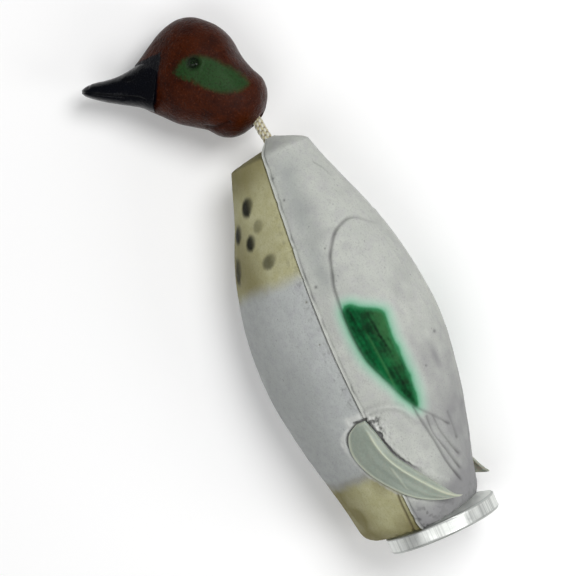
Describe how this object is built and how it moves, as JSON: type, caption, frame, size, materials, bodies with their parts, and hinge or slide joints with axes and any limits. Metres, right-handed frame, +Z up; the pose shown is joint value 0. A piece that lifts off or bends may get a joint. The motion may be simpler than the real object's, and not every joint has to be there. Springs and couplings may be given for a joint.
{
  "type": "duck launcher dummy",
  "caption": "Duck-shaped foam retrieving dummy lying on its flank, with a jointed hard head on a short rope, webbed feet and an aluminium launcher socket in the tail.",
  "frame": {"origin": "middle of the footprint's bounding box, on the surface the dummy lies on", "axes": "+X along the body from the launcher flange towards the head; +Z up from the surface the dummy lies on, so the duck's left flank faces up; the duck's back faces -Y, turned up by the rest roll of 18 degrees, and its belly faces +Y"},
  "size_m": [0.289, 0.1204, 0.0798],
  "materials": {
    "grey_foam": "matte",
    "belly_foam": "matte",
    "aluminium": "satin",
    "plug_plastic": "matte",
    "washer_steel": "satin",
    "rope": "matte",
    "vinyl": "satin",
    "head_paint": "satin",
    "bill_paint": "satin",
    "eye_gloss": "gloss"
  },
  "bodies": {
    "torso": {"back_half": "grey_foam", "belly_half": "belly_foam", "launcher_flange": "aluminium", "launcher_tube": "aluminium", "tube_plug": "plug_plastic", "body_washer": "washer_steel", "body_knot": "rope", "rope_in_body": "rope"},
    "lower_link": {"rope_lower_link": "rope"},
    "upper_link": {"rope_upper_link": "rope"},
    "head": {"head_shell": "head_paint", "bill": "bill_paint", "left_eye": "eye_gloss", "right_eye": "eye_gloss", "head_washer": "washer_steel", "head_knot": "rope", "rope_in_head": "rope"},
    "left_foot": {"left_foot": "vinyl"},
    "right_foot": {"right_foot": "vinyl"}
  },
  "joints": [
    {"name": "neck_sway", "type": "hinge", "parent": "torso", "child": "lower_link", "pos_m": [0.068, -0.01746, 0.03926], "axis": [0.1595, -0.9872, 0], "range_deg": [-8, 30], "stiffness_Nm_per_rad": 0.05, "springref_deg": 14.44},
    {"name": "neck_nod", "type": "hinge", "parent": "lower_link", "child": "upper_link", "pos_m": [0.07599, -0.01617, 0.03412], "axis": [0, 0, 1], "range_deg": [-35, 30], "stiffness_Nm_per_rad": 0.05},
    {"name": "head_twist", "type": "hinge", "parent": "upper_link", "child": "head", "pos_m": [0.08397, -0.01488, 0.02899], "axis": [0.8334, 0.1346, -0.536], "range_deg": [-60, 60], "stiffness_Nm_per_rad": 0.03, "springref_deg": 5.9},
    {"name": "left_foot_flex", "type": "hinge", "parent": "torso", "child": "left_foot", "pos_m": [-0.07469, -0.00652, 0.07292], "axis": [0, 0.9511, -0.309], "range_deg": [0, 35], "stiffness_Nm_per_rad": 0.02},
    {"name": "right_foot_flex", "type": "hinge", "parent": "torso", "child": "right_foot", "pos_m": [-0.07469, -0.0284, 0.00559], "axis": [0, -0.9511, 0.309], "range_deg": [0, 35], "stiffness_Nm_per_rad": 0.02}
  ]
}
